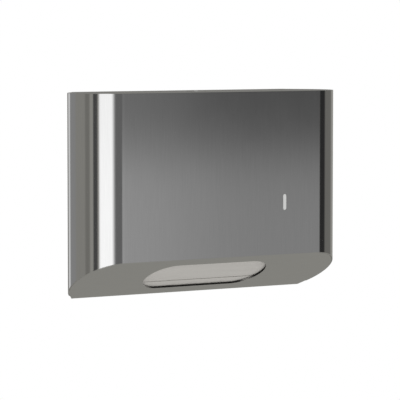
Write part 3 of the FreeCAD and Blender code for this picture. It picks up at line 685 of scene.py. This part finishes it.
white = (1.0, 1.0, 1.0, 1.0)
floor_white = (0.8, 0.8, 0.8, 1.0)
floor_in_steel = (0.375, 0.37, 0.345, 1.0)
backdrop_light = (0.9, 0.9, 0.9, 1.0)
floor_drop = 2.0
floor_half = 6.0
floor_corners = [(floor_half * x, floor_half * y) for x, y in ((-1, -1), (1, -1), (1, 1), (-1, 1))]
floor_mesh = bpy.data.meshes.new("studio_floor")
floor_mesh.from_pydata([(x, y, wrap_low.z - floor_drop) for x, y in floor_corners], [], [(0, 1, 2, 3)])
studio_floor = placed("studio_floor", floor_mesh)
floor_paint = bpy.data.materials.new("floor_paint")
floor_paint.use_nodes = True
tree = floor_paint.node_tree
surface = tree.nodes["Principled BSDF"]
surface.inputs["Roughness"].default_value = 1.0
surface.inputs["Specular IOR Level"].default_value = 0.0
path = tree.nodes.new("ShaderNodeLightPath")
unseen = mixed(tree, path.outputs["Is Glossy Ray"], floor_white, floor_in_steel)
feed(tree, surface.inputs["Base Color"], mixed(tree, path.outputs["Is Camera Ray"], unseen, white))
floor_mesh.materials.append(floor_paint)

# Headings turn from the wall's normal, +Y, towards +X. Each card is its heading, half width and soft
# edge in degrees, its tint, and its brightness above and below the line that the front shows at half
# its height. A later card stands in front of the earlier ones.
warm = (1.0, 0.985, 0.925)
neutral = (0.985, 0.99, 1.005)
cards = [
    ("grey_walls", 26.0, 157.4, 7.0, warm, 0.32, 0.32),
    ("soft_box", 202.1, 24.4, 7.0, neutral, 1.46, 1.55),
    ("flag_left", 240.2, 6.2, 4.0, neutral, 0.09, 0.09),
    ("card_left_near", 253.5, 5.5, 5.0, warm, 0.37, 0.37),
    ("card_left", 265.75, 6.75, 8.0, warm, 0.235, 0.235),
    ("card_far_left", 330.0, 17.0, 12.0, neutral, 0.33, 0.33),
    ("strip_left", 353.0, 8.0, 4.0, neutral, 0.8, 0.8),
    ("card_rear", 22.0, 16.0, 4.0, warm, 0.215, 0.2),
    ("card_right_rear", 56.0, 17.0, 8.0, warm, 0.38, 0.38),
    ("card_right", 95.0, 20.0, 6.0, warm, 0.205, 0.205),
    ("flag_right", 125.0, 11.5, 8.0, neutral, 0.035, 0.035),
    ("flag_beside_box", 167.0, 16.0, 16.0, neutral, 0.185, 0.185),
    ("card_front", 146.4, 10.6, 4.0, neutral, 0.11, 0.335),
    ("glow_front", 152.95, 3.35, 4.6, neutral, 0.24, 0.475),
]
line_low, line_high = math.radians(-3.65), math.radians(-2.05)


def shone(brightness, tint):
    """A tint at some brightness, as an opaque colour."""
    return tuple(brightness * part for part in tint) + (1.0,)


# The world is sampled by the surfaces alone, because only then does steel see the cards as a mirror.
studio = bpy.data.worlds.new("studio")
bpy.context.scene.world = studio
studio.use_nodes = True
studio.cycles.sampling_method = "NONE"
tree = studio.node_tree
direction = tree.nodes.new("ShaderNodeTexCoord").outputs["Generated"]
apart = tree.nodes.new("ShaderNodeSeparateXYZ")
feed(tree, apart.inputs[0], direction)
level = tree.nodes.new("ShaderNodeCombineXYZ")
feed(tree, level.inputs["X"], apart.outputs["X"])
feed(tree, level.inputs["Y"], apart.outputs["Y"])
unit = tree.nodes.new("ShaderNodeVectorMath")
unit.operation = "NORMALIZE"
feed(tree, unit.inputs[0], level.outputs[0])
above = ranged(tree, apart.outputs["Z"], math.sin(line_low), math.sin(line_high), smooth=True)
path = tree.nodes.new("ShaderNodeLightPath")
glossy = path.outputs["Is Glossy Ray"]
glossy_or_clear = figure(tree, "MAXIMUM", glossy, path.outputs["Is Transmission Ray"])
seen_plainly = figure(tree, "MAXIMUM", path.outputs["Is Camera Ray"], glossy_or_clear)
studio_colour = mixed(tree, seen_plainly, backdrop_light, white)
for name, heading, half_width, soft, tint, brightness_above, brightness_below in cards:
    towards = (math.sin(math.radians(heading)), math.cos(math.radians(heading)), 0.0)
    edge_far = math.cos(math.radians(half_width + soft / 2))
    edge_near = math.cos(math.radians(half_width - soft / 2))
    within = ranged(tree, measured(tree, unit.outputs["Vector"], towards), edge_far, edge_near, smooth=True)
    card_colour = mixed(tree, above, shone(brightness_below, tint), shone(brightness_above, tint))
    studio_colour = mixed(tree, figure(tree, "MULTIPLY", within, glossy), studio_colour, card_colour)
    studio_colour.node.name = name
background = tree.nodes["Background"]
background.inputs["Strength"].default_value = 1.0
feed(tree, background.inputs["Color"], studio_colour)

# Camera: in front, to the left and slightly above, with a long lens.

camera_place = (-1.7297, -2.8654, 0.2191)
camera_down, camera_turn = 3.973, -31.605
camera_lens = 221.65
camera_data = bpy.data.cameras.new("camera")
camera_data.lens = camera_lens
camera_data.sensor_width = 36.0
camera = placed("camera", camera_data)
camera.location = camera_place
camera.rotation_euler = (math.radians(90 - camera_down), 0.0, math.radians(camera_turn))
bpy.context.scene.camera = camera
bpy.context.scene.view_settings.view_transform = "Standard"
